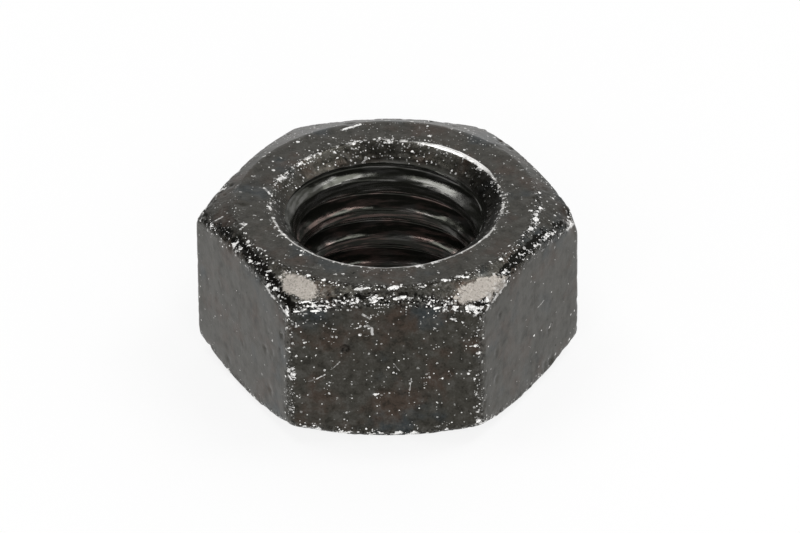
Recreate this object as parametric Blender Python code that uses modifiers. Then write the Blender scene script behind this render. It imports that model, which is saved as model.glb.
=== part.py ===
"""A plain hexagon nut with a coarse metric thread, chamfered on both faces.

The nut stands on its lower face with the thread's axis along +Z. Two of its
flats face -Y and +Y, and two of its corners point along -X and +X.
"""

import math

import bmesh
import bpy
from mathutils import Matrix, Vector

# Driving sizes, in metres and radians
ACROSS_FLATS = 0.01285
HEIGHT = 0.00675
THREAD_DIAMETER = 0.0080
THREAD_PITCH = 0.00125
CREST_RELIEF = 0.00008  # how far the crests stand back from the basic thread form
THREAD_START = math.radians(16.5)  # where the groove starts round the axis
CORNER_ROUNDING = 0.00038  # radius of the six upright corners
FACE_INSET = 0.00060  # from a flat to the ring where the chamfer starts
CHAMFER_SLOPE = math.radians(24.0)  # measured from the flat face
RIM_ROUNDING = 0.00022  # how far the round runs back from each worn rim
COUNTERSINK_LIP = 0.00046  # from the groove out to the countersink's rim
COUNTERSINK_SLOPE = math.radians(38.0)  # measured from the flat face

# Fineness of the round forms
TURNED_STEPS = 96
THREAD_STEPS = 72
ROUNDING_SEGMENTS = 3
SHARPEST_SMOOTH_ANGLE = math.radians(25.0)

# How far a cutter reaches past what it cuts, and how close points may be welded
OVERSHOOT = 0.0010
WELD = 0.000001

# Worked out from the driving sizes
CORNER_RADIUS = ACROSS_FLATS / 2 / math.cos(math.pi / 6)
FACE_RADIUS = ACROSS_FLATS / 2 - FACE_INSET
GROOVE_RADIUS = THREAD_DIAMETER / 2
THREAD_DEPTH = 5 / 8 * THREAD_PITCH * math.cos(math.pi / 6)
CREST_RADIUS = GROOVE_RADIUS - THREAD_DEPTH + CREST_RELIEF


def clear_scene():
    """Remove whatever the scene holds."""
    for obj in list(bpy.data.objects):
        bpy.data.objects.remove(obj, do_unlink=True)


def collection_named(name):
    """A new collection in the scene."""
    collection = bpy.data.collections.new(name)
    bpy.context.scene.collection.children.link(collection)
    return collection


def object_from(bm, name, collection):
    """An object that takes over a bmesh."""
    mesh = bpy.data.meshes.new(name)
    bm.to_mesh(mesh)
    bm.free()
    obj = bpy.data.objects.new(name, mesh)
    collection.objects.link(obj)
    return obj


def as_cutter(obj):
    """Keep a helper out of the render, and show it as wires."""
    obj.hide_render = True
    obj.display_type = "WIRE"
    return obj


def evaluated_mesh(obj):
    """The object's mesh with its modifiers applied."""
    bpy.context.view_layer.update()
    graph = bpy.context.evaluated_depsgraph_get()
    return bpy.data.meshes.new_from_object(obj.evaluated_get(graph))


def profile_object(name, points, collection):
    """A chain of edges in the XZ plane, for a Screw modifier to turn."""
    bm = bmesh.new()
    chain = [bm.verts.new((radius, 0.0, height)) for radius, height in points]
    for here, there in zip(chain, chain[1:]):
        bm.edges.new((here, there))
    return object_from(bm, name, collection)


def turned(name, points, collection):
    """A solid of revolution whose profile runs from the axis down its outer side."""
    obj = profile_object(name, points, collection)
    screw = obj.modifiers.new("Turn", "SCREW")
    screw.steps = screw.render_steps = TURNED_STEPS
    screw.use_merge_vertices = True
    screw.merge_threshold = WELD
    whole_faces = obj.modifiers.new("Whole faces", "DECIMATE")
    whole_faces.decimate_type = "DISSOLVE"
    whole_faces.angle_limit = math.pi / TURNED_STEPS / 4
    return obj


def hexagon_bar(collection):
    """A length of drawn hexagon bar, its six long corners rounded."""
    length = HEIGHT + 2 * OVERSHOOT
    bm = bmesh.new()
    bmesh.ops.create_cone(
        bm,
        cap_ends=True,
        segments=6,
        radius1=CORNER_RADIUS,
        radius2=CORNER_RADIUS,
        depth=length,
    )
    corners_along_x = Matrix.Rotation(math.pi / 2, 3, "Z")
    bmesh.ops.rotate(bm, matrix=corners_along_x, verts=bm.verts)
    corners = [edge for edge in bm.edges if edge.calc_length() > length * 0.99 and is_upright(edge)]
    bmesh.ops.bevel(
        bm,
        geom=corners,
        affect="EDGES",
        offset_type="OFFSET",
        offset=CORNER_ROUNDING * math.tan(math.pi / 6),
        segments=ROUNDING_SEGMENTS,
        profile=0.5,
        material=-1,
    )
    bmesh.ops.translate(bm, vec=Vector((0.0, 0.0, HEIGHT / 2)), verts=bm.verts)
    return object_from(bm, "hex_nut", collection)


def is_upright(edge):
    """Whether an edge runs along the axis."""
    run = edge.verts[1].co - edge.verts[0].co
    return abs(run.z) > 0.99 * run.length


def chamfer_blank(collection):
    """The turned form that both faces and both chamfers are cut to."""
    reach = CORNER_RADIUS + OVERSHOOT
    drop = (reach - FACE_RADIUS) * math.tan(CHAMFER_SLOPE)
    points = [
        (0.0, HEIGHT),
        (FACE_RADIUS, HEIGHT),
        (reach, HEIGHT - drop),
        (reach, drop),
        (FACE_RADIUS, 0.0),
        (0.0, 0.0),
    ]
    return as_cutter(turned("chamfer_blank", points, collection))


def countersink(name, face_height, direction, collection):
    """A cone that opens the bore's mouth at one face."""
    slope = math.tan(COUNTERSINK_SLOPE)
    wide_radius = GROOVE_RADIUS + COUNTERSINK_LIP + OVERSHOOT
    depth = wide_radius * slope
    bm = bmesh.new()
    bmesh.ops.create_cone(
        bm,
        cap_ends=True,
        segments=TURNED_STEPS,
        radius1=0.0,
        radius2=wide_radius,
        depth=depth,
    )
    bmesh.ops.remove_doubles(bm, verts=bm.verts, dist=WELD)
    half_step = Matrix.Rotation(math.pi / TURNED_STEPS, 3, "Z")
    bmesh.ops.rotate(bm, matrix=half_step, verts=bm.verts)
    if direction < 0:
        bmesh.ops.rotate(bm, matrix=Matrix.Rotation(math.pi, 3, "X"), verts=bm.verts)
    middle = face_height + direction * (OVERSHOOT * slope - depth / 2)
    bmesh.ops.translate(bm, vec=Vector((0.0, 0.0, middle)), verts=bm.verts)
    return as_cutter(object_from(bm, name, collection))


def ridge_profile():
    """One pitch of the tap's outer side, top to bottom: core, flank, ridge, flank, core."""
    half_core = THREAD_PITCH / 8 + CREST_RELIEF * math.tan(math.pi / 6)
    half_ridge = THREAD_PITCH / 16
    middle = THREAD_PITCH / 2
    return [
        (CREST_RADIUS, THREAD_PITCH),
        (CREST_RADIUS, THREAD_PITCH - half_core),
        (GROOVE_RADIUS, middle + half_ridge),
        (GROOVE_RADIUS, middle - half_ridge),
        (CREST_RADIUS, half_core),
        (CREST_RADIUS, 0.0),
    ]


def wound_ridge(turns, collection):
    """The tap's outer side wound up a right-hand helix, still open at both ends."""
    obj = profile_object("ridge_profile", ridge_profile(), collection)
    screw = obj.modifiers.new("Wind", "SCREW")
    screw.steps = screw.render_steps = THREAD_STEPS
    screw.screw_offset = THREAD_PITCH
    screw.iterations = turns
    weld = obj.modifiers.new("Join turns", "WELD")
    weld.merge_threshold = WELD
    return obj


def close_end(bm, rim, height):
    """Draw an open rim in to one point on the axis."""
    grown = bmesh.ops.extrude_edge_only(bm, edges=rim)
    tips = [item for item in grown["geom"] if isinstance(item, bmesh.types.BMVert)]
    bmesh.ops.pointmerge(bm, verts=tips, merge_co=Vector((0.0, 0.0, height)))


def tap(collection):
    """The threaded cutter, longer than the nut by whole turns at both ends."""
    turns = math.ceil(HEIGHT / THREAD_PITCH) + 3
    length = (turns + 1) * THREAD_PITCH
    wound = wound_ridge(turns, collection)
    mesh = evaluated_mesh(wound)
    bpy.data.objects.remove(wound)

    bm = bmesh.new()
    bm.from_mesh(mesh)
    bpy.data.meshes.remove(mesh)
    rims = [edge for edge in bm.edges if edge.is_boundary]
    close_end(bm, [edge for edge in rims if edge.verts[0].co.z < length / 2], 0.0)
    close_end(bm, [edge for edge in rims if edge.verts[0].co.z > length / 2], length)
    bmesh.ops.recalc_face_normals(bm, faces=bm.faces)
    bmesh.ops.rotate(bm, matrix=Matrix.Rotation(THREAD_START, 3, "Z"), verts=bm.verts)
    bmesh.ops.translate(bm, vec=Vector((0.0, 0.0, -2 * THREAD_PITCH)), verts=bm.verts)
    return as_cutter(object_from(bm, "tap", collection))


def boolean(obj, operation, other):
    """Add one Boolean step to a piece."""
    step = obj.modifiers.new(other.name, "BOOLEAN")
    step.operation = operation
    step.object = other


def round_the_rims(obj):
    """Wear back the rim where each chamfer meets the flats."""
    rounding = obj.modifiers.new("Worn rims", "BEVEL")
    rounding.limit_method = "ANGLE"
    rounding.angle_limit = math.radians(45.0)
    rounding.width = RIM_ROUNDING
    rounding.segments = ROUNDING_SEGMENTS


def finish(obj):
    """Apply the steps, and shade what is round smooth up to its sharp edges."""
    mesh = evaluated_mesh(obj)
    mesh.name = obj.name
    obj.modifiers.clear()
    obj.data = mesh
    mesh.shade_smooth()
    mesh.set_sharp_from_angle(angle=SHARPEST_SMOOTH_ANGLE)


def blackened_steel():
    """Blackened steel, half matt."""
    material = bpy.data.materials.new("blackened_steel")
    material.use_nodes = True
    shader = material.node_tree.nodes["Principled BSDF"]
    shader.inputs["Base Color"].default_value = (0.055, 0.052, 0.050, 1.0)
    shader.inputs["Roughness"].default_value = 0.42
    shader.inputs["Metallic"].default_value = 0.8
    return material


def build_nut():
    """Bar, then faces and chamfers, then worn rims, then thread and countersinks."""
    parts = collection_named("hexagon_nut")
    cutters = collection_named("cutters")

    nut = hexagon_bar(parts)
    nut.data.materials.append(blackened_steel())
    boolean(nut, "INTERSECT", chamfer_blank(cutters))
    round_the_rims(nut)
    boolean(nut, "DIFFERENCE", tap(cutters))
    boolean(nut, "DIFFERENCE", countersink("upper_countersink", HEIGHT, 1, cutters))
    boolean(nut, "DIFFERENCE", countersink("lower_countersink", 0.0, -1, cutters))
    finish(nut)


clear_scene()
build_nut()
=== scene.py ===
import math
import random

import bmesh
import bpy
from mathutils import Matrix, Vector, noise


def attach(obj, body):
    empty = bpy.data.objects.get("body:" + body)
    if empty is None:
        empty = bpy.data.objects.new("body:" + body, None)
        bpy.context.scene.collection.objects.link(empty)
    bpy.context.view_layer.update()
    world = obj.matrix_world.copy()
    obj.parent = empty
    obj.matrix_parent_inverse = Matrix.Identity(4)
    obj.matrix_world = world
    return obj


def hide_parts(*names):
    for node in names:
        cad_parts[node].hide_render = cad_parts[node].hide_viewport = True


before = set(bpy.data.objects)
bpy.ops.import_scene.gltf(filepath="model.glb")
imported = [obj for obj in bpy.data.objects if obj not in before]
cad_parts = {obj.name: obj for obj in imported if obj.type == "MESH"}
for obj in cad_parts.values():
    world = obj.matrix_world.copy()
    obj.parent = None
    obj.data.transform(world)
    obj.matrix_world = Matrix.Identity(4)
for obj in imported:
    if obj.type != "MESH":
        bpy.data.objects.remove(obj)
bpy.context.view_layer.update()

# The nut: its blank.
# A length of cold drawn hexagon bar, faced, chamfered and countersunk at both ends on
# a lathe. One corner of it is turned here, a sixth of the whole, and set round the axis.
ACROSS_FLATS = 0.01285
HEIGHT = 0.00675
CORNER_ROUNDING = 0.00038
FACE_INSET = 0.00060  # from a flat to the ring where the chamfer starts
CHAMFER_SLOPE = math.radians(23.2)
RIM_ROUNDING = 0.00020  # in the middle of the front flat
CORNER_WEAR = 0.00024  # how much more of the rim is gone at a corner
CORNER_WEAR_REACH = math.pi / 9  # either side of a corner
SIDE_WEAR = 0.70  # share of that wear at the left and right corners
FRONT_WEAR = 0.30  # added to it at the front and taken off at the back
THREAD_DIAMETER = 0.0080
THREAD_PITCH = 0.00125
CREST_RELIEF = 0.00008
COUNTERSINK_LIP = 0.00046
COUNTERSINK_SLOPE = math.radians(38.0)
LIP_ROUNDING = 0.00009
TAPPING_ALLOWANCE = 0.0004  # left inside the crests for the tap to cut

half_flats = ACROSS_FLATS / 2
face_radius = half_flats - FACE_INSET
groove_radius = THREAD_DIAMETER / 2
thread_depth = 5 / 8 * THREAD_PITCH * math.cos(math.pi / 6)
crest_radius = groove_radius - thread_depth + CREST_RELIEF
lip_radius = groove_radius + COUNTERSINK_LIP
bore_blank_radius = crest_radius - TAPPING_ALLOWANCE

SIXTH_STEPS = 92
CORNER_CROWDING = 0.50  # how much closer the steps lie at the corners
ROWS = {"cone": 13, "lip": 5, "face": 9, "chamfer": 20, "rim": 12}
WALL_ROWS = 38
UNDERSIDE_FINENESS = 0.5
WELD = 0.000001


def from_nearest_corner(angle):
    """Angle from the nearest corner of the hexagon, whose corners lie along -X and +X."""
    return abs((angle + math.pi / 6) % (math.pi / 3) - math.pi / 6)


def outline_radius(angle):
    """Distance from the axis to the rounded hexagon."""
    off_corner = from_nearest_corner(angle)
    arc_centre = (half_flats - CORNER_ROUNDING) / math.cos(math.pi / 6)
    tangent = math.atan2(
        CORNER_ROUNDING * math.sin(math.pi / 6),
        arc_centre + CORNER_ROUNDING * math.cos(math.pi / 6),
    )
    if off_corner > tangent:
        return half_flats / math.cos(math.pi / 6 - off_corner)
    across = arc_centre * math.sin(off_corner)
    return arc_centre * math.cos(off_corner) + math.sqrt(CORNER_ROUNDING**2 - across**2)


def chamfer_height(radius):
    """Height of the upper chamfer above the lower face."""
    return HEIGHT - (radius - face_radius) * math.tan(CHAMFER_SLOPE)


def rows_from_bore_to_rim(fineness, side):
    """Each row of the section at one face: its zone, its place there and its side."""
    counts = {zone: math.ceil(count * fineness) for zone, count in ROWS.items()}
    return [(zone, k / count, side) for zone, count in counts.items() for k in range(count)]


def bent(start, corner, end, t):
    """A point on the round that replaces a corner between two tangent points."""
    return (1 - t) ** 2 * start + 2 * t * (1 - t) * corner + t**2 * end


def place_in_section(zone, t, angle):
    """Radius and height of one point of the section's upper half, at one angle."""
    rise = math.tan(COUNTERSINK_SLOPE)
    lip = Vector((lip_radius, HEIGHT))
    lip_inner = lip - Vector((1, rise)).normalized() * LIP_ROUNDING
    lip_outer = lip + Vector((LIP_ROUNDING, 0))
    if zone == "cone":
        start = Vector((bore_blank_radius, HEIGHT - (lip_radius - bore_blank_radius) * rise))
        return start.lerp(lip_inner, t)
    if zone == "lip":
        return bent(lip_inner, lip, lip_outer, t)
    ring = Vector((face_radius, HEIGHT))
    if zone == "face":
        return lip_outer.lerp(ring, t)
    outer = outline_radius(angle)
    rim = Vector((outer, chamfer_height(outer)))
    cornerness = max(0.0, 1 - from_nearest_corner(angle) / CORNER_WEAR_REACH) ** 2
    worn = RIM_ROUNDING + CORNER_WEAR * cornerness
    worn *= SIDE_WEAR - FRONT_WEAR * math.sin(angle)
    rim_inner = rim + Vector((-math.cos(CHAMFER_SLOPE), math.sin(CHAMFER_SLOPE))) * worn
    rim_outer = rim - Vector((0, worn))
    if zone == "chamfer":
        return ring.lerp(rim_inner, t)
    if zone == "rim":
        return bent(rim_inner, rim, rim_outer, t)
    return rim_outer.lerp(Vector((outer, HEIGHT - rim_outer.y)), t)


def object_from(bm, name):
    """An object that takes over a bmesh."""
    mesh = bpy.data.meshes.new(name)
    bm.to_mesh(mesh)
    bm.free()
    made = bpy.data.objects.new(name, mesh)
    bpy.context.scene.collection.objects.link(made)
    return made


def repeat(bm, copies, move):
    """Copy all of a bmesh some times over, moving each copy's points, and join the seams."""
    first = bm.verts[:] + bm.edges[:] + bm.faces[:]
    for number in range(1, copies):
        copied = bmesh.ops.duplicate(bm, geom=first)["geom"]
        move(number, [item for item in copied if isinstance(item, bmesh.types.BMVert)])
    bmesh.ops.remove_doubles(bm, verts=bm.verts, dist=WELD)


rows = rows_from_bore_to_rim(1.0, 1)
rows += [("wall", k / WALL_ROWS, 1) for k in range(WALL_ROWS + 1)]
rows += reversed(rows_from_bore_to_rim(UNDERSIDE_FINENESS, -1))

blank = bmesh.new()
row_of = blank.verts.layers.int.new("row")
chain = []
for row, (zone, t, side) in enumerate(rows):
    radius, height = place_in_section(zone, t, 0.0)
    chain.append(blank.verts.new((radius, 0.0, height if side > 0 else HEIGHT - height)))
    chain[-1][row_of] = row
section = [blank.edges.new(pair) for pair in zip(chain, chain[1:] + chain[:1])]
bmesh.ops.spin(
    blank,
    geom=chain + section,
    cent=(0, 0, 0),
    axis=(0, 0, 1),
    angle=math.pi / 3,
    steps=SIXTH_STEPS,
)
repeat(
    blank,
    6,
    lambda number, verts: bmesh.ops.rotate(
        blank, matrix=Matrix.Rotation(number * math.pi / 3, 3, "Z"), verts=verts
    ),
)
for vert in blank.verts:
    turned_to = math.atan2(vert.co.y, vert.co.x)
    angle = turned_to - CORNER_CROWDING / 6 * math.sin(6 * turned_to)
    zone, t, side = rows[vert[row_of]]
    radius, height = place_in_section(zone, t, angle)
    vert.co = (
        radius * math.cos(angle),
        radius * math.sin(angle),
        height if side > 0 else HEIGHT - height,
    )
bmesh.ops.recalc_face_normals(blank, faces=blank.faces)
nut = object_from(blank, "nut")

# The nut: its thread.
# Cut by one pass of a tap, right-handed and coarse, from face to face. One turn of the
# tap's outer side is wound, copied up the axis, closed at both ends and taken away.
THREAD_STEPS = 216
THREAD_START = math.radians(16.5)  # where the groove starts round the axis
CREST_ROUNDING = 0.00006
ROOT_ROUNDING = 0.00005
ROUNDING_STEPS = 3
LONGEST_STEP = 0.00012
TURNS_BELOW = 2  # of the tap, below the nut's lower face


def softened(points, rounding, steps):
    """A chain of points with each inner corner replaced by a short round."""
    soft = [points[0]]
    for before, corner, after, reach in zip(points, points[1:], points[2:], rounding):
        start = corner + (before - corner).normalized() * reach
        end = corner + (after - corner).normalized() * reach
        soft += [bent(start, corner, end, k / steps) for k in range(steps + 1)]
    return soft + [points[-1]]


def divided(points, longest):
    """A chain of points with its long runs cut into even steps."""
    fine = []
    for here, there in zip(points, points[1:]):
        count = max(1, math.ceil((there - here).length / longest))
        fine += [here.lerp(there, k / count) for k in range(count)]
    return fine + [points[-1]]


half_core = THREAD_PITCH / 8 + CREST_RELIEF * math.tan(math.pi / 6)
half_ridge = THREAD_PITCH / 16
ridge = [
    Vector((crest_radius, THREAD_PITCH)),
    Vector((crest_radius, THREAD_PITCH - half_core)),
    Vector((groove_radius, THREAD_PITCH / 2 + half_ridge)),
    Vector((groove_radius, THREAD_PITCH / 2 - half_ridge)),
    Vector((crest_radius, half_core)),
    Vector((crest_radius, 0.0)),
]
rounds = [CREST_ROUNDING, ROOT_ROUNDING, ROOT_ROUNDING, CREST_ROUNDING]
ridge = divided(softened(ridge, rounds, ROUNDING_STEPS), LONGEST_STEP)

turns = math.ceil(HEIGHT / THREAD_PITCH) + TURNS_BELOW
tap_length = (turns + 1) * THREAD_PITCH
tap = bmesh.new()
chain = [tap.verts.new((radius, 0.0, height)) for radius, height in ridge]
profile = [tap.edges.new(pair) for pair in zip(chain, chain[1:])]
bmesh.ops.spin(
    tap,
    geom=chain + profile,
    cent=(0, 0, 0),
    axis=(0, 0, 1),
    dvec=(0, 0, THREAD_PITCH / THREAD_STEPS),
    angle=2 * math.pi,
    steps=THREAD_STEPS,
)
repeat(
    tap,
    turns,
    lambda number, verts: bmesh.ops.translate(
        tap, vec=(0, 0, number * THREAD_PITCH), verts=verts
    ),
)
open_rims = [edge for edge in tap.edges if edge.is_boundary]
for end_height in (0.0, tap_length):
    rim = [edge for edge in open_rims if abs(edge.verts[0].co.z - end_height) < tap_length / 2]
    grown = bmesh.ops.extrude_edge_only(tap, edges=rim)["geom"]
    tips = [item for item in grown if isinstance(item, bmesh.types.BMVert)]
    bmesh.ops.pointmerge(tap, verts=tips, merge_co=(0, 0, end_height))
bmesh.ops.recalc_face_normals(tap, faces=tap.faces)
bmesh.ops.rotate(tap, matrix=Matrix.Rotation(THREAD_START, 3, "Z"), verts=tap.verts)
bmesh.ops.translate(tap, vec=(0, 0, -TURNS_BELOW * THREAD_PITCH), verts=tap.verts)
cutter = object_from(tap, "tap")

cut = nut.modifiers.new("Thread", "BOOLEAN")
cut.operation = "DIFFERENCE"
cut.object = cutter
bpy.context.view_layer.update()
graph = bpy.context.evaluated_depsgraph_get()
threaded = bpy.data.meshes.new_from_object(nut.evaluated_get(graph))
nut.modifiers.clear()
nut.data = threaded
threaded.name = "nut"
bpy.data.objects.remove(cutter)

# The nut: its knocks and wear.
# Tumbled and handled in bulk, so its rims and upright edges are battered, more so to the front,
# with a pitted band along the front rims, painted dark partly as shade, and two patches rubbed
# bare.
KNOCK_DEPTH = 0.00020
KNOCK_REACH = 0.00045
KNOCK_WAVES = (1.7, 5.0)  # coarse and fine, to the millimetre
BATTER_DEPTH = 0.00006  # of the small dints and burrs beside a rim
BATTER_REACH = 0.00060
BATTER_WAVES = (3.1, 6.8)
FRONT_REACH = 1.6  # how far round the heavier wear goes: 0 in front, 1 aside, 2 behind
BACK_BATTER = 0.22  # share of the front's battering that the back has
UNDERSIDE_BATTER = 0.40  # share of the upper rims' battering that the lower ones have
BAND_MIDDLE = 0.00026  # from the outline in to the middle of the pitted band
BAND_REACH = 0.00036
BAND_THICKNESS = 0.00020  # how far off the chamfer's surface the band still counts
UNDERSIDE_BAND = 0.25
PIT_DEPTH = 0.00007
PIT_WAVES = 5.5
EDGE_KNOCK_DEPTH = 0.00012
EDGE_KNOCK_WAVES = (2.3, 6.0)
EDGE_REACH = 0.00040
UNEVENNESS = 0.000012
UNEVENNESS_WAVES = (0.7, 2.2)
LIP_RAGGEDNESS = 0.00004
RAGGED_LIP_REACH = 0.0002
LIP_WAVES = 3.0
LIP_REACH = 0.00040
CREST_RAGGEDNESS = 0.000015
CREST_WAVES = 2.6
THROAT_FOOT = 0.00470  # height where the bore starts to flare towards the face
THROAT_HEAD = 0.00624
THROAT_FLARE = 0.00038
CONE_FOOT_RADIUS = 0.00393  # inside it the countersink is as flat as a drill's point
CONE_FOOT_SLOPE = math.radians(31.0)
RING_REACH = 0.00028  # of the scuffs along the inner edge of the chamfers
RIGHT_CORNER = -0.15  # middle of the scuffs round the right corner, in radians
RIGHT_CORNER_REACH = 0.65
FRONT_FLAT_REACH = math.radians(28.6)  # either side of the middle of the front flat
FRONT_FLAT_BLEND = 0.045
WALL_BLEND = 0.00012  # over which one part of the surface passes into the next
CHAMFER_BLEND = 0.00010
BORE_BLEND = 0.00003
BROW_DROP = 0.00025  # from the rim down to the pale line worn along the top of a flat
BROW_REACH = 0.00014
# Where the lip is painted white as a highlight, to the upper right: its middle and reach.
LIP_GLINT_MIDDLE = math.radians(50.0)
LIP_GLINT_REACH = math.radians(46.0)
FRONT_LIP_REACH = 1.1  # either side of the front, in radians, where the lip gets half the share: a wider bare lip, no painted white
FRONT_LIP_BLEND = 0.3
PATCH_DEPTH = 0.00003
PATCH_THICKNESS = 0.0003  # how far below the chamfer's surface a patch still counts
PATCHES = [  # middle, half its length and width, and how its length is turned
    (Vector((-0.00324, -0.00548)), 0.00104, 0.00052, math.radians(-40.0)),
    (Vector((0.00374, -0.00542)), 0.00144, 0.00052, math.radians(36.0)),
]
DENTS = [  # middle, radius and depth
    (Vector((-0.00150, -0.00642, 0.00428)), 0.00034, 0.00014),
    (Vector((-0.00058, -0.00642, 0.00535)), 0.00022, 0.00005),
    (Vector((0.00626, -0.00203, 0.00221)), 0.00018, 0.00004),
    (Vector((0.00633, -0.00189, 0.00063)), 0.00030, 0.00009),
    (Vector((-0.00480, 0.00120, 0.00675)), 0.00022, 0.00005),
    (Vector((-0.00150, 0.00570, 0.00670)), 0.00034, 0.00006),
    (Vector((0.00728, -0.00010, 0.00612)), 0.00085, 0.00017),
]
RANDOM_DENTS = 110
RANDOM_DENT_RADII = (0.00010, 0.00026)
RANDOM_DENT_STEEPNESS = (0.10, 0.24)  # depth over radius
DEEPEST_KNOCK_SHOWN = 0.00008  # a knock this deep is bared in full
SHARPEST_SMOOTH_ANGLE = math.radians(40.0)


def near(distance, reach):
    """1 on a line, falling smoothly to 0 at some reach from it."""
    t = max(0.0, 1 - distance / reach)
    return t * t * (3 - 2 * t)


def rough(point, per_millimetre, shift=0.0):
    """Even noise from about -1 to 1, so many waves to the millimetre, in its own pattern."""
    return noise.noise(point * per_millimetre * 1000 + Vector((shift, shift, shift)))


def in_patch(point):
    """1 in the middle of a rubbed patch, 0 on its edge, and less outside."""
    nearest = -1.0
    for middle, half_length, half_width, turn in PATCHES:
        offset = point.xy - middle
        along = offset.dot(Vector((math.cos(turn), math.sin(turn)))) / half_length
        aside = offset.dot(Vector((-math.sin(turn), math.cos(turn)))) / half_width
        nearest = max(nearest, 1 - math.hypot(along, aside))
    return nearest


work = bmesh.new()
work.from_mesh(threaded)
bmesh.ops.remove_doubles(work, verts=work.verts, dist=WELD)
bmesh.ops.triangulate(work, faces=work.faces)
work.normal_update()
# Where each kind of wear lies, from 0 to 1, and where the lip's highlight is painted. One mask
# marks the lip worn bare and, to the upper right, painted white as a highlight, front the front
# rim, quiet the less marked skin of the bore and of all flats but the front one, and brow the
# line along the tops of those flats. patch goes on falling outside the patches.
masks = ("rim", "front", "edge", "lip", "lip_glint_and_wear", "bore", "band", "patch", "wall", "chamfer")
masks += ("knocked", "quiet", "cone", "brow")
layer = {name: work.verts.layers.float.new(name) for name in masks}

chance = random.Random(8)
dents = list(DENTS)
outside = [vert for vert in work.verts if vert.co.xy.length > lip_radius + LIP_REACH]
outside = [vert.co.copy() for vert in outside]
for _ in range(RANDOM_DENTS):
    radius = chance.uniform(*RANDOM_DENT_RADII)
    middle = chance.choice(outside)
    dents.append((middle, radius, radius * chance.uniform(*RANDOM_DENT_STEEPNESS)))

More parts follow.
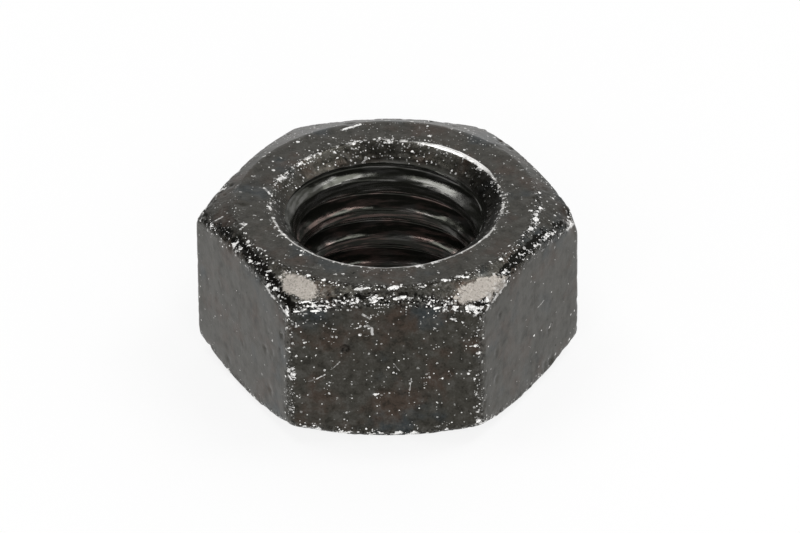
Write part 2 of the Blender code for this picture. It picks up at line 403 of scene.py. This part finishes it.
for vert in work.verts:
    point = vert.co.copy()
    upper = point.z > HEIGHT / 2
    height = max(point.z, HEIGHT - point.z)
    flare = max(0.0, (height - THROAT_FOOT) / (THROAT_HEAD - THROAT_FOOT)) ** 2
    throat_radius = crest_radius + THROAT_FLARE * flare
    if height < THROAT_HEAD and WELD < throat_radius - point.xy.length:
        point.xy *= throat_radius / point.xy.length
    radius = point.xy.length
    angle = math.atan2(point.y, point.x)
    outer = outline_radius(angle)
    to_rim = math.hypot(outer - radius, chamfer_height(outer) - height)
    to_edge = radius * math.sin(from_nearest_corner(angle))
    to_lip = math.hypot(radius - lip_radius, HEIGHT - height)
    inward = Vector((-point.x, -point.y, 0)) / radius
    back = Vector((0, 0, -1 if upper else 1))

    to_front = near(1 + point.y / radius, FRONT_REACH)
    battered = BACK_BATTER + (1 - BACK_BATTER) * to_front
    blow = battered * (1.0 if upper else UNDERSIDE_BATTER)
    off_front = abs(angle + math.pi / 2)
    front_flat = near(max(0.0, off_front - FRONT_FLAT_REACH), FRONT_FLAT_BLEND)
    on_wall = near(max(0.0, outer - radius), WALL_BLEND)
    on_chamfer = near(max(0.0, face_radius - radius), CHAMFER_BLEND) * (1 - on_wall)
    rim_near = near(to_rim, KNOCK_REACH)
    edge_near = near(to_edge, EDGE_REACH) * on_wall
    lip_near = near(to_lip, LIP_REACH)
    band = near(abs(outer - radius - BAND_MIDDLE), BAND_REACH) * (1 - on_wall)
    band *= near(abs(height - chamfer_height(radius)), BAND_THICKNESS)
    band *= to_front * (1 - 0.65 * front_flat) if upper else UNDERSIDE_BAND
    right_corner = near(abs(angle - RIGHT_CORNER), RIGHT_CORNER_REACH) * upper
    ring_near = near(math.hypot(radius - face_radius, HEIGHT - height), RING_REACH)
    ring_near *= max(0.55 * to_front, 1.1 * right_corner)
    # The lip's painted highlight, to the upper right; half as much at the front, which only
    # widens the bare lip.
    lip_glint_and_wear_share = near(abs(angle - LIP_GLINT_MIDDLE), LIP_GLINT_REACH)
    front_lip = near(max(0.0, off_front - FRONT_LIP_REACH), FRONT_LIP_BLEND)
    lip_glint_and_wear_share = max(lip_glint_and_wear_share, 0.5 * front_lip)
    lip_glint_and_wear_share *= upper
    cone_radius = lip_radius - (HEIGHT - height) / math.tan(COUNTERSINK_SLOPE)
    bore = 0.0
    if radius < groove_radius + WELD:
        bore = min(1.0, max(0.0, (radius - cone_radius) / BORE_BLEND))
    patch = -1.0
    if upper and height > chamfer_height(radius) - PATCH_THICKNESS:
        patch = in_patch(point)

    coarse, fine = (rough(point, waves) for waves in KNOCK_WAVES)
    knock = KNOCK_DEPTH * rim_near * blow * max(0.0, coarse + 0.5 * fine - 0.05)
    coarse, fine = (rough(point, waves, 7.0) for waves in EDGE_KNOCK_WAVES)
    edge_knock = max(0.0, coarse + 0.4 * fine - 0.08)
    edge_knock *= EDGE_KNOCK_DEPTH * edge_near * battered
    coarse, fine = (rough(point, waves, 13.0) for waves in BATTER_WAVES)
    dint = 0.6 * coarse + 0.5 * fine - 0.1
    dint *= BATTER_DEPTH * near(to_rim, BATTER_REACH) * blow
    pit = PIT_DEPTH * band * max(0.0, 0.3 + rough(point, PIT_WAVES, 21.0))
    worn_flat = PATCH_DEPTH * min(1.0, max(0.0, patch * 4))
    coarse, fine = (rough(point, waves, 31.0) for waves in UNEVENNESS_WAVES)
    sag = UNEVENNESS * (1 + coarse + 0.4 * (1 - on_wall) * fine)

    move = (inward + back) * 0.7 * knock + inward * edge_knock
    if worn_flat > 0:
        move *= 0.3
        pit = dint = 0.0
    if on_wall > 0.5 or bore > 0:
        dint = min(0.0, dint)
    move += vert.normal * (dint - pit - worn_flat - sag)
    ragged = near(to_lip, RAGGED_LIP_REACH) * max(0.0, rough(point, LIP_WAVES, 41.0) + 0.2)
    move -= inward * LIP_RAGGEDNESS * ragged
    if bore > 0:
        move -= vert.normal * CREST_RAGGEDNESS * (1 + rough(point, CREST_WAVES, 51.0))

    struck = 0.0
    for middle, reach, depth in dents:
        gap = (point - middle).length
        if gap < reach:
            hollow = near(gap, reach)
            struck = max(struck, hollow)
            move -= vert.normal * depth * hollow
    if bore == 0 and radius < CONE_FOOT_RADIUS:
        flatter = math.tan(COUNTERSINK_SLOPE) - math.tan(CONE_FOOT_SLOPE)
        move -= back * (CONE_FOOT_RADIUS - radius) * flatter
    vert.co = point + move

    vert[layer["rim"]] = max(rim_near * max(battered, right_corner), ring_near)
    vert[layer["edge"]] = edge_near * battered
    vert[layer["lip"]] = lip_near
    vert[layer["lip_glint_and_wear"]] = lip_glint_and_wear_share
    vert[layer["front"]] = max(rim_near, 0.35 * on_chamfer) * front_flat * upper
    brow = near(abs(chamfer_height(outer) - BROW_DROP - height), BROW_REACH) * upper
    vert[layer["brow"]] = brow * on_wall * (1 - front_flat) * max(battered, right_corner)
    vert[layer["quiet"]] = max(0.0, on_wall * (1 - front_flat), bore)
    vert[layer["bore"]] = bore
    vert[layer["band"]] = band
    vert[layer["patch"]] = patch
    vert[layer["wall"]] = on_wall
    vert[layer["chamfer"]] = on_chamfer
    vert[layer["cone"]] = near(max(0.0, radius - lip_radius), CHAMFER_BLEND) * (1 - bore)
    knocked = (knock + edge_knock) / DEEPEST_KNOCK_SHOWN + 0.5 * struck
    vert[layer["knocked"]] = min(1.0, knocked)

work.to_mesh(threaded)
work.free()
threaded.shade_smooth()
threaded.set_sharp_from_angle(angle=SHARPEST_SMOOTH_ANGLE)

# The nut: its blackened skin.
# Black oxide over bare steel: a dark film with brown and bluish clouds and drawn lines
# along the flats, scratched and knocked off in pale flecks, and a smoother film in the bore.
# Painted in among these colours: a white highlight on the lip, a slight sheen on the faces, and
# shade in the pitted band and the pit.
FILM = (0.0490, 0.0465, 0.0395, 1)
FILM_DARK = (0.0180, 0.0172, 0.0140, 1)
PITTED_AND_SHADED_FILM = (0.0100, 0.0095, 0.0080, 1)
FILM_BROWN = (0.0580, 0.0440, 0.0350, 1)
FILM_BLUE = (0.0400, 0.0460, 0.0480, 1)
FILM_PALE = (0.1150, 0.1120, 0.1030, 1)
# The white of the flecks, also painted on the lip as its highlight.
FLECK_AND_GLINT_WHITE = (0.90, 0.89, 0.87, 1)
RUBBED_STEEL = (0.38, 0.35, 0.315, 1)
LIP_STEEL = (0.50, 0.49, 0.47, 1)
BORE_FILM = (0.040, 0.041, 0.034, 1)
BORE_STEEL = (0.112, 0.111, 0.104, 1)
BORE_PINK = (0.160, 0.116, 0.103, 1)
SCRATCHES = [  # from, to, half width, in millimetres, and how bare
    ((-1.82, 5.20, 6.75), (-1.12, 5.58, 6.75), 0.085, 1.0),
    ((-4.80, 1.20, 6.75), (-4.51, 0.61, 6.75), 0.06, 0.8),
    ((-6.72, -0.73, 6.34), (-6.33, -0.64, 6.52), 0.05, 0.7),
    ((-3.80, -6.02, 6.20), (-3.62, -6.42, 5.92), 0.05, 0.9),
    ((-3.17, -6.40, 6.04), (-2.60, -6.40, 6.28), 0.07, 0.8),
    ((0.24, -6.40, 6.52), (0.80, -6.18, 6.56), 0.08, 1.0),
    ((1.91, -6.42, 6.14), (2.55, -6.42, 6.30), 0.06, 0.9),
    ((2.30, -6.40, 6.30), (2.91, -6.38, 6.46), 0.07, 0.9),
    ((-1.72, -6.40, 6.40), (-0.90, -6.36, 6.50), 0.06, 0.7),
    ((-3.06, -6.42, 2.78), (-2.60, -6.42, 2.90), 0.025, 0.4),
    ((-2.60, -6.42, 2.92), (-2.30, -6.42, 3.11), 0.04, 0.7),
    ((-2.05, -6.42, 3.35), (-1.72, -6.42, 3.71), 0.03, 0.35),
    ((0.34, -6.42, 3.62), (0.57, -6.42, 3.25), 0.025, 0.5),
    ((-0.82, -6.42, 5.86), (-0.58, -6.42, 5.70), 0.07, 0.5),
    ((-0.66, -6.42, 5.34), (-0.50, -6.42, 5.24), 0.08, 0.4),
    ((-0.50, -6.42, 5.24), (-0.47, -6.42, 4.98), 0.07, 0.5),
    ((-0.94, -6.42, 4.95), (-0.94, -6.42, 4.95), 0.09, 1.0),
    ((0.13, -6.42, 3.45), (0.13, -6.42, 3.45), 0.06, 1.0),
    ((1.00, -6.42, 2.95), (0.93, -6.42, 2.40), 0.025, 0.5),
    ((5.83, -2.76, 3.73), (6.06, -2.36, 3.78), 0.03, 0.5),
    ((6.25, -2.03, 2.21), (6.36, -1.83, 2.45), 0.04, 0.9),
    ((-3.40, -4.30, 6.75), (-1.80, -4.75, 6.75), 0.02, 0.3),
]
# The pit's hole, painted dark as the shade in it.
PAINTED_PIT = ((-1.50, -6.33, 4.28), 0.26)  # middle and half width, in millimetres
RAGGEDNESS = 0.12  # how far the edges of flecks wander, in millimetres
RELIEF_HEIGHT = 0.000016  # of the film's fine bumps
FLECK_ROUGHNESS = 0.45
FLECK_MATT_SHARE = 0.85  # how much of a fleck scatters light instead of mirroring it
BORE_MATT_SHARE = 0.22


class Wire:
    """A socket of a node tree, on which plain arithmetic adds Math nodes."""

    def __init__(self, tree, socket=None):
        self.tree = tree
        self.socket = socket

    def node(self, kind, settings=None, sockets=None, output=0):
        """Add a node: its settings first, then the values or wires of its sockets."""
        made = self.tree.nodes.new("ShaderNode" + kind)
        for name, value in (settings or {}).items():
            setattr(made, name, value)
        for name, value in (sockets or {}).items():
            if isinstance(value, Wire):
                self.tree.links.new(value.socket, made.inputs[name])
            else:
                made.inputs[name].default_value = value
        return Wire(self.tree, made.outputs[output])

    def beside(self, output):
        """Another output of the node that this wire comes from."""
        return Wire(self.tree, self.socket.node.outputs[output])

    def math(self, operation, *values):
        return self.node("Math", {"operation": operation}, dict(enumerate(values)))

    def __add__(self, other):
        return self.math("ADD", self, other)

    __radd__ = __add__

    def __sub__(self, other):
        return self.math("SUBTRACT", self, other)

    def __rsub__(self, other):
        return self.math("SUBTRACT", other, self)

    def __mul__(self, other):
        return self.math("MULTIPLY", self, other)

    __rmul__ = __mul__

    def __lt__(self, other):
        return self.math("LESS_THAN", self, other)

    def largest(self, other):
        return self.math("MAXIMUM", self, other)

    def ramp(self, low, high):
        """0 at and below low, 1 at and above high, smooth between them."""
        ends = {"Value": self, "From Min": low, "From Max": high}
        return self.node("MapRange", {"interpolation_type": "SMOOTHSTEP"}, ends)

    def blend(self, colour, other):
        """One colour where this is 0 and the other where it is 1."""
        return self.node("Mix", {"data_type": "RGBA"}, {0: self, 6: colour, 7: other}, 2)

    def vector(self, operation, *values):
        return self.node("VectorMath", {"operation": operation}, dict(enumerate(values)))


def grain(place, per_millimetre, detail=2.0, stretch=(1, 1, 1), shift=(0, 0, 0)):
    """Soft noise about 0.5, in millimetres, drawn out along the axes by a stretch."""
    stretched = place.vector("MULTIPLY_ADD", place, stretch, shift)
    return place.node(
        "TexNoise", None, {"Vector": stretched, "Scale": per_millimetre, "Detail": detail}
    )


def specks(place, per_millimetre, share, size, shift=(0, 0, 0)):
    """Specks of unlike sizes and bareness, one in each chosen cell of the given share."""
    moved = place.vector("ADD", place, shift)
    distance = place.node("TexVoronoi", None, {"Vector": moved, "Scale": per_millimetre})
    lots = place.node("SeparateColor", None, {"Color": distance.beside("Color")})
    reach = size * (0.35 + 0.65 * lots.beside("Green"))
    bareness = 0.20 + 0.80 * lots.beside("Blue") * lots.beside("Blue")
    return (lots < share) * (reach - distance).ramp(0.0, 0.05) * bareness


def scratch(place, start, end, half_width):
    """A scratch from one point to another, tapering off at both ends."""
    run = Vector(end) - Vector(start)
    offset = place.vector("SUBTRACT", place, start)
    along = offset.vector("DOT_PRODUCT", offset, run / max(run.length_squared, 0.0001))
    along = along.beside("Value")
    along = along.math("MINIMUM", along.largest(0.0), 1.0)
    nearest = offset.vector("MULTIPLY", along, run)
    gap = offset.vector("DISTANCE", offset, nearest).beside("Value")
    return 1 - gap.ramp(half_width * 0.5, half_width)


steel = bpy.data.materials.new("blackened_steel")
steel.use_nodes = True
tree = steel.node_tree
start = Wire(tree)
metres = start.node("TexCoord", output="Object")
place = metres.vector("MULTIPLY", metres, (1000, 1000, 1000))
rim, front, edge, lip, lip_glint_and_wear, bore, band, patch, wall, chamfer, knocked, quiet, cone, brow = [
    start.node("Attribute", {"attribute_name": name}, output="Fac") for name in masks
]

# Where the film is knocked off: sparse specks, streaks along the front rim, flakes and
# the worn line along the tops of the side walls, and the scratches
wander = grain(place, 7.0, 3.0).beside("Color")
wander = wander.vector("MULTIPLY_ADD", wander, [RAGGEDNESS] * 3, [-RAGGEDNESS / 2] * 3)
torn = place.vector("ADD", place, wander)
flocks = grain(place, 0.9, 2.0, shift=(11, 3, 5)).ramp(0.42, 0.66)
gate = grain(place, 1.9, 3.0, shift=(9, 1, 4))
patchy = 0.3 + 1.4 * gate.ramp(0.35, 0.65)
height_up = place.node("SeparateXYZ", None, {0: place}).beside("Z")
at_back = height_up.beside("Y").ramp(1.0, 5.0) * (1 - wall)
dust = (0.008 + 0.052 * flocks) * (1 - 0.55 * quiet) + 0.025 * chamfer
dust = dust + 0.09 * at_back + 0.08 * cone
dust = dust + 0.13 * gate.ramp(0.50, 0.66) * (wall - quiet).largest(0.0)
dust = dust + 0.25 * patch.ramp(-0.40, -0.05) + 0.35 * brow
dust = dust + patchy * (0.50 * rim + 0.44 * edge + 0.16 * band + 0.55 * lip) * (1 - bore)
dots = specks(torn, 3.4, dust * 0.8, 0.30)
small_dots = specks(torn, 6.5, dust * 1.3, 0.38, (4, 9, 2))
grit = specks(place, 10.5, (0.012 + 1.5 * dust) * (1 - 0.6 * quiet), 0.40, (1, 6, 3))
drawn_out = torn.vector("MULTIPLY", torn, (0.28, 1, 1))
streaks = specks(drawn_out, 6.5, 0.75 * front, 0.36, (7, 2, 2))
streaks = streaks.largest(specks(drawn_out, 4.2, 0.35 * front, 0.30, (1, 8, 3)))
flakes_grain = grain(torn, 5.2, 4.0, stretch=(0.6, 0.8, 1), shift=(2, 8, 6))
bared = 0.19 * rim + 0.12 * edge + 0.13 * lip + 0.04 * band + 0.07 * knocked
bared = bared - 0.07 * front - 0.08 * quiet
flakes = (flakes_grain + bared + 0.5 * (gate - 0.5)).ramp(0.70, 0.76)
crumbled = grain(place, 7.5, 2.0, shift=(2, 5, 4)).ramp(0.40, 0.56)
flecked = dots.largest(small_dots).largest(grit).largest(streaks)
flecked = flecked.largest(flakes * (0.35 + 0.55 * crumbled))
worn_brow = brow - 0.62 + 1.5 * (gate - 0.5) + 2.2 * (flakes_grain - 0.5)
flecked = flecked.largest(0.40 * worn_brow.ramp(0.0, 0.30))
wavering = place.vector("MULTIPLY_ADD", wander, (0.8, 0.8, 0.8), place)
scratches = 0.0
for scratch_start, scratch_end, half_width, bareness in SCRATCHES:
    scratched = bareness * scratch(wavering, scratch_start, scratch_end, half_width)
    scratches = scratched.largest(scratches)
flecked = flecked.largest(scratches * (0.25 + 0.75 * crumbled))

# The rubbed patches, and the pitted band and the pit, painted near black partly as the shade in
# their pits
fine = grain(place, 12.0, 3.0)
rubbed = (patch + 1.1 * (grain(torn, 3.4, 4.0) - 0.5) + 0.5 * (fine - 0.5)).ramp(0.08, 0.30)
pit_middle, pit_half_width = PAINTED_PIT
# The pit: a dark hole painted in as the shade in it.
pit = scratch(torn, pit_middle, pit_middle, pit_half_width)
pitted_and_shaded = (band + 1.5 * (grain(place, 3.6, 3.0, shift=(5, 5, 1)) - 0.5)).ramp(0.28, 0.50)
pepper_grain = grain(place, 7.0, 3.0, shift=(6, 2, 9)).ramp(0.50, 0.60)
pepper = pepper_grain * (rim + 0.6 * edge + 0.3 * chamfer * band + 0.5 * front)
pitted_and_shaded = pitted_and_shaded.largest(pepper).largest(pit * (0.35 + 0.50 * crumbled))
pitted_and_shaded = pitted_and_shaded * (1 - rubbed)
flecked = flecked * (1 + 1.1 * rim) * (1 - rubbed * 0.8) * (1 - bore)
flecked = flecked.math("MINIMUM", flecked, 1.0)

# The film's colour and gloss
clouds = grain(place, 0.55, 4.0)
brown = grain(place, 0.8, 4.0, shift=(3, 7, 9)).ramp(0.48, 0.68)
mottle = grain(place, 3.2, 5.0)
drawn = grain(place, 3.0, 4.0, stretch=(1, 1, 0.08))
film = clouds.ramp(0.54, 0.70).blend(FILM, FILM_BLUE)
film = brown.blend(film, FILM_BROWN)
shade = mottle + 0.5 * (fine - 0.5) + (0.12 * wall + 0.40 * quiet + 0.4 * edge) * (drawn - 0.5)
film = (0.65 * (1 - shade.ramp(0.28, 0.50))).blend(film, FILM_DARK)
salt_grain = grain(place, 8.5, 3.0, shift=(3, 3, 8)).ramp(0.50, 0.66)
salt = 0.04 + 0.8 * rim + 0.5 * edge + 0.4 * band + 0.3 * chamfer + 0.3 * front + 0.16 * quiet
salt = salt * salt_grain * (1 - 0.6 * quiet)
film = (0.35 * shade.ramp(0.50, 0.70) + salt).blend(film, FILM_PALE)
# Painted sheen: the faces are paled a little so that their reflection renders brighter. On the
# side walls and in the bore, a pale haze in clouds and along the upright edges.
haze_and_face_sheen = 0.07 * (1 - wall) * (1 - chamfer) * (1 - cone)
haze_and_face_sheen = haze_and_face_sheen + quiet * (0.03 + 0.30 * gate.ramp(0.34, 0.60) + 0.50 * edge)
film = haze_and_face_sheen.blend(film, FILM_PALE)
# Near black where pitted: pitted film, and partly painted shade.
film = pitted_and_shaded.blend(film, PITTED_AND_SHADED_FILM)
film_roughness = 0.22 + 0.16 * mottle + 0.08 * fine + 0.20 * pitted_and_shaded

# The bore
rings = grain(place, 9.0, 3.0, stretch=(0.07, 0.07, 1))
pink = grain(place, 0.8, 2.0, shift=(1, 1, 6)).ramp(0.36, 0.56)
pink = pink * (1 - height_up.ramp(4.4, 5.3))
bore_colour = pink.blend(BORE_STEEL, BORE_PINK)
bore_colour = (rings + 0.2 * (mottle - 0.5)).ramp(0.45, 0.60).blend(BORE_FILM, bore_colour)

# The whole skin
ragged = 0.7 * (gate - 0.5) + 0.7 * (grain(torn, 5.0, 3.0) - 0.5)
# The lip worn bare, widened and unbroken where its highlight is painted.
bare_and_glinting_lip = lip - 1.0 + 0.22 * lip_glint_and_wear + ragged * (1 - 0.85 * lip_glint_and_wear.ramp(0.0, 0.5))
bare_and_glinting_lip = bare_and_glinting_lip.ramp(0.0, 0.08)
colour = bore.blend(film, bore_colour)
# Bare steel on the lip, painted white as a highlight to the upper right.
colour = bare_and_glinting_lip.blend(colour, lip_glint_and_wear.ramp(0.5, 0.8).blend(LIP_STEEL, FLECK_AND_GLINT_WHITE))
colour = (rubbed * (0.62 + 0.38 * fine.ramp(0.36, 0.50))).blend(colour, RUBBED_STEEL)
colour = flecked.blend(colour, FLECK_AND_GLINT_WHITE)
roughness = film_roughness + bore * (0.12 + 0.13 * rings - film_roughness)
roughness = roughness + rubbed * (0.40 + 0.15 * fine - roughness)
roughness = roughness + flecked * (FLECK_ROUGHNESS - roughness)
metallic = 1 - FLECK_MATT_SHARE * flecked - BORE_MATT_SHARE * bore

relief = (0.25 * fine + 0.9 * mottle) * (1 - 0.6 * quiet) + 0.6 * bore * rings
relief = relief + rim * (salt_grain - pepper_grain)

shader = start.node(
    "BsdfPrincipled",
    None,
    {
        "Base Color": colour,
        "Roughness": roughness,
        "Metallic": metallic,
        "Normal": start.node("Bump", None, {"Height": relief, "Distance": RELIEF_HEIGHT}),
    },
)
surface = tree.nodes["Material Output"].inputs["Surface"]
tree.nodes.remove(tree.nodes["Principled BSDF"])
tree.links.new(shader.socket, surface)
threaded.materials.clear()
threaded.materials.append(steel)
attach(nut, "root")
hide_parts("hex_nut")

# The floor.
# A plain white table, wide enough to fill the picture from every side. Seen straight or
# in a reflection it is white, and it keeps the nut's shadow.
FLOOR_WHITE = (0.95, 0.95, 0.95, 1)
FLOOR_REACH = 2.0
SHADOW_SHARE = 0.16  # how much of the floor's look is left to the light on it

floor_mesh = bmesh.new()
bmesh.ops.create_grid(floor_mesh, x_segments=1, y_segments=1, size=FLOOR_REACH)
floor = object_from(floor_mesh, "floor")
floor_white = bpy.data.materials.new("floor_white")
floor_white.use_nodes = True
tree = floor_white.node_tree
tree.nodes.remove(tree.nodes["Principled BSDF"])
spot = Wire(tree).node("TexCoord", output="Object")
from_axis = spot.vector("LENGTH", spot).beside("Value")
outside_bore = from_axis.ramp(crest_radius, groove_radius)
paths = spot.node("LightPath", output="Is Camera Ray")
glowing = paths.beside("Is Glossy Ray") + paths.beside("Is Transmission Ray")
glowing = (1 - SHADOW_SHARE) * paths + outside_bore * glowing
matt = paths.node("BsdfDiffuse", None, {"Color": FLOOR_WHITE})
glow = paths.node("Emission", None, {"Color": (1, 1, 1, 1), "Strength": 1.0})
look = paths.node("MixShader", None, {0: glowing, 1: matt, 2: glow})
tree.links.new(look.socket, tree.nodes["Material Output"].inputs["Surface"])
floor.data.materials.append(floor_white)

# The light.
# A white sweep behind and two soft boxes overhead, left and right of a dark gap, in a
# dimmer room. A broad fill from the front is kept out of the reflections.
SWEEP_LIGHT = 1.0
ROOM_LIGHT = 0.12
RIGHT_ROOM_LIGHT = 0.22  # more, to the right
FRONT_LIGHT = 0.90  # in front, below the lamps
LEFT_LIGHT = 0.04  # in the dark corner behind on the left
LOW_RIGHT_LIGHT = 0.45
OVERHEAD_LIGHT = 0.07
SOFT_BOX_RADIANCE = 5.2
LEFT_BOX_SIZE = (0.10, 0.14)
LEFT_BOX_PLACE = (-0.106, 0.03, 0.30)
RIGHT_BOX_SIZE = (0.11, 0.14)
RIGHT_BOX_PLACE = (0.142, 0.04, 0.30)
FILL_RADIANCE = 2.5
FILL_SIZE = (0.5, 0.3)
FILL_PLACE = (0.0, -0.45, 0.25)

world = bpy.data.worlds.new("studio")
bpy.context.scene.world = world
world.use_nodes = True
tree = world.node_tree
direction = Wire(tree).node("TexCoord", output="Generated")
toward = direction.node("SeparateXYZ", None, {0: direction})
behind = toward.beside("Y").ramp(-0.10, 0.30)
above = toward.beside("Z").ramp(0.72, 0.92)
room = ROOM_LIGHT + RIGHT_ROOM_LIGHT * toward.beside("X").ramp(-0.5, 0.6)
in_front = (0 - toward.beside("Y")).ramp(0.0, 0.3) * (1 - toward.beside("Z").ramp(0.55, 0.80))
room = room + in_front * (FRONT_LIGHT - room)
light = room + behind * (SWEEP_LIGHT - room)
low_right = behind * (1 - toward.beside("Z").ramp(0.22, 0.45))
low_right = low_right * toward.beside("X").ramp(0.34, 0.52)
at_left = behind * (-0.08 * toward.beside("Z") - toward.beside("X")).ramp(0.42, 0.50)
light = light + at_left * (LEFT_LIGHT - light)
light = light + low_right * (LOW_RIGHT_LIGHT - light)
light = light + above * (OVERHEAD_LIGHT - light)
seen = direction.node("LightPath", output="Is Camera Ray")
light = light + seen * (1 - light)
background = tree.nodes["Background"]
background.inputs["Color"].default_value = (1, 1, 1, 1)
tree.links.new(light.socket, background.inputs["Strength"])


def soft_box(name, size, place, radiance):
    """An oblong lamp that faces the middle of the nut, with an even brightness."""
    lamp = bpy.data.lights.new(name, "AREA")
    lamp.shape = "RECTANGLE"
    lamp.size, lamp.size_y = size
    lamp.energy = radiance * math.pi * size[0] * size[1]
    box = bpy.data.objects.new(name, lamp)
    box.location = place
    facing = (Vector((0, 0, HEIGHT / 2)) - Vector(place)).to_track_quat("-Z", "Y")
    box.rotation_euler = facing.to_euler()
    bpy.context.scene.collection.objects.link(box)
    return box


soft_box("soft_box_left", LEFT_BOX_SIZE, LEFT_BOX_PLACE, SOFT_BOX_RADIANCE)
soft_box("soft_box_right", RIGHT_BOX_SIZE, RIGHT_BOX_PLACE, SOFT_BOX_RADIANCE)
fill = soft_box("fill", FILL_SIZE, FILL_PLACE, FILL_RADIANCE)
fill.visible_glossy = False

# The camera.
# A long lens, looking down on the nut from the front and a little from its left.
IMAGE_WIDTH = 800  # pixels
SENSOR_WIDTH = 36.0  # millimetres
FOCAL_PIXELS = 9398.7
ELEVATION = math.radians(33.64)
TURN = math.radians(1.09)
ROLL = math.radians(-0.59)
DISTANCE = 28.306 * ACROSS_FLATS
SHIFT_RIGHT = 0.03781 * ACROSS_FLATS
SHIFT_UP = 0.02718 * ACROSS_FLATS

right = Matrix.Rotation(TURN, 3, "Z") @ Vector((1, 0, 0))
forward = Matrix.Rotation(TURN, 3, "Z") @ Vector((0, math.cos(ELEVATION), -math.sin(ELEVATION)))
up = right.cross(forward)
camera_data = bpy.data.cameras.new("camera")
camera_data.sensor_width = SENSOR_WIDTH
camera_data.lens = FOCAL_PIXELS * SENSOR_WIDTH / IMAGE_WIDTH
camera_data.clip_start = 0.01
camera_data.clip_end = 10.0
camera = bpy.data.objects.new("camera", camera_data)
bpy.context.scene.collection.objects.link(camera)
aim = Vector((0, 0, HEIGHT / 2)) + right * SHIFT_RIGHT + up * SHIFT_UP
camera.location = aim - forward * DISTANCE
aimed = Matrix((right, up, -forward)).transposed() @ Matrix.Rotation(ROLL, 3, "Z")
camera.rotation_euler = aimed.to_euler()
bpy.context.scene.camera = camera

bpy.context.scene.view_settings.view_transform = "Standard"
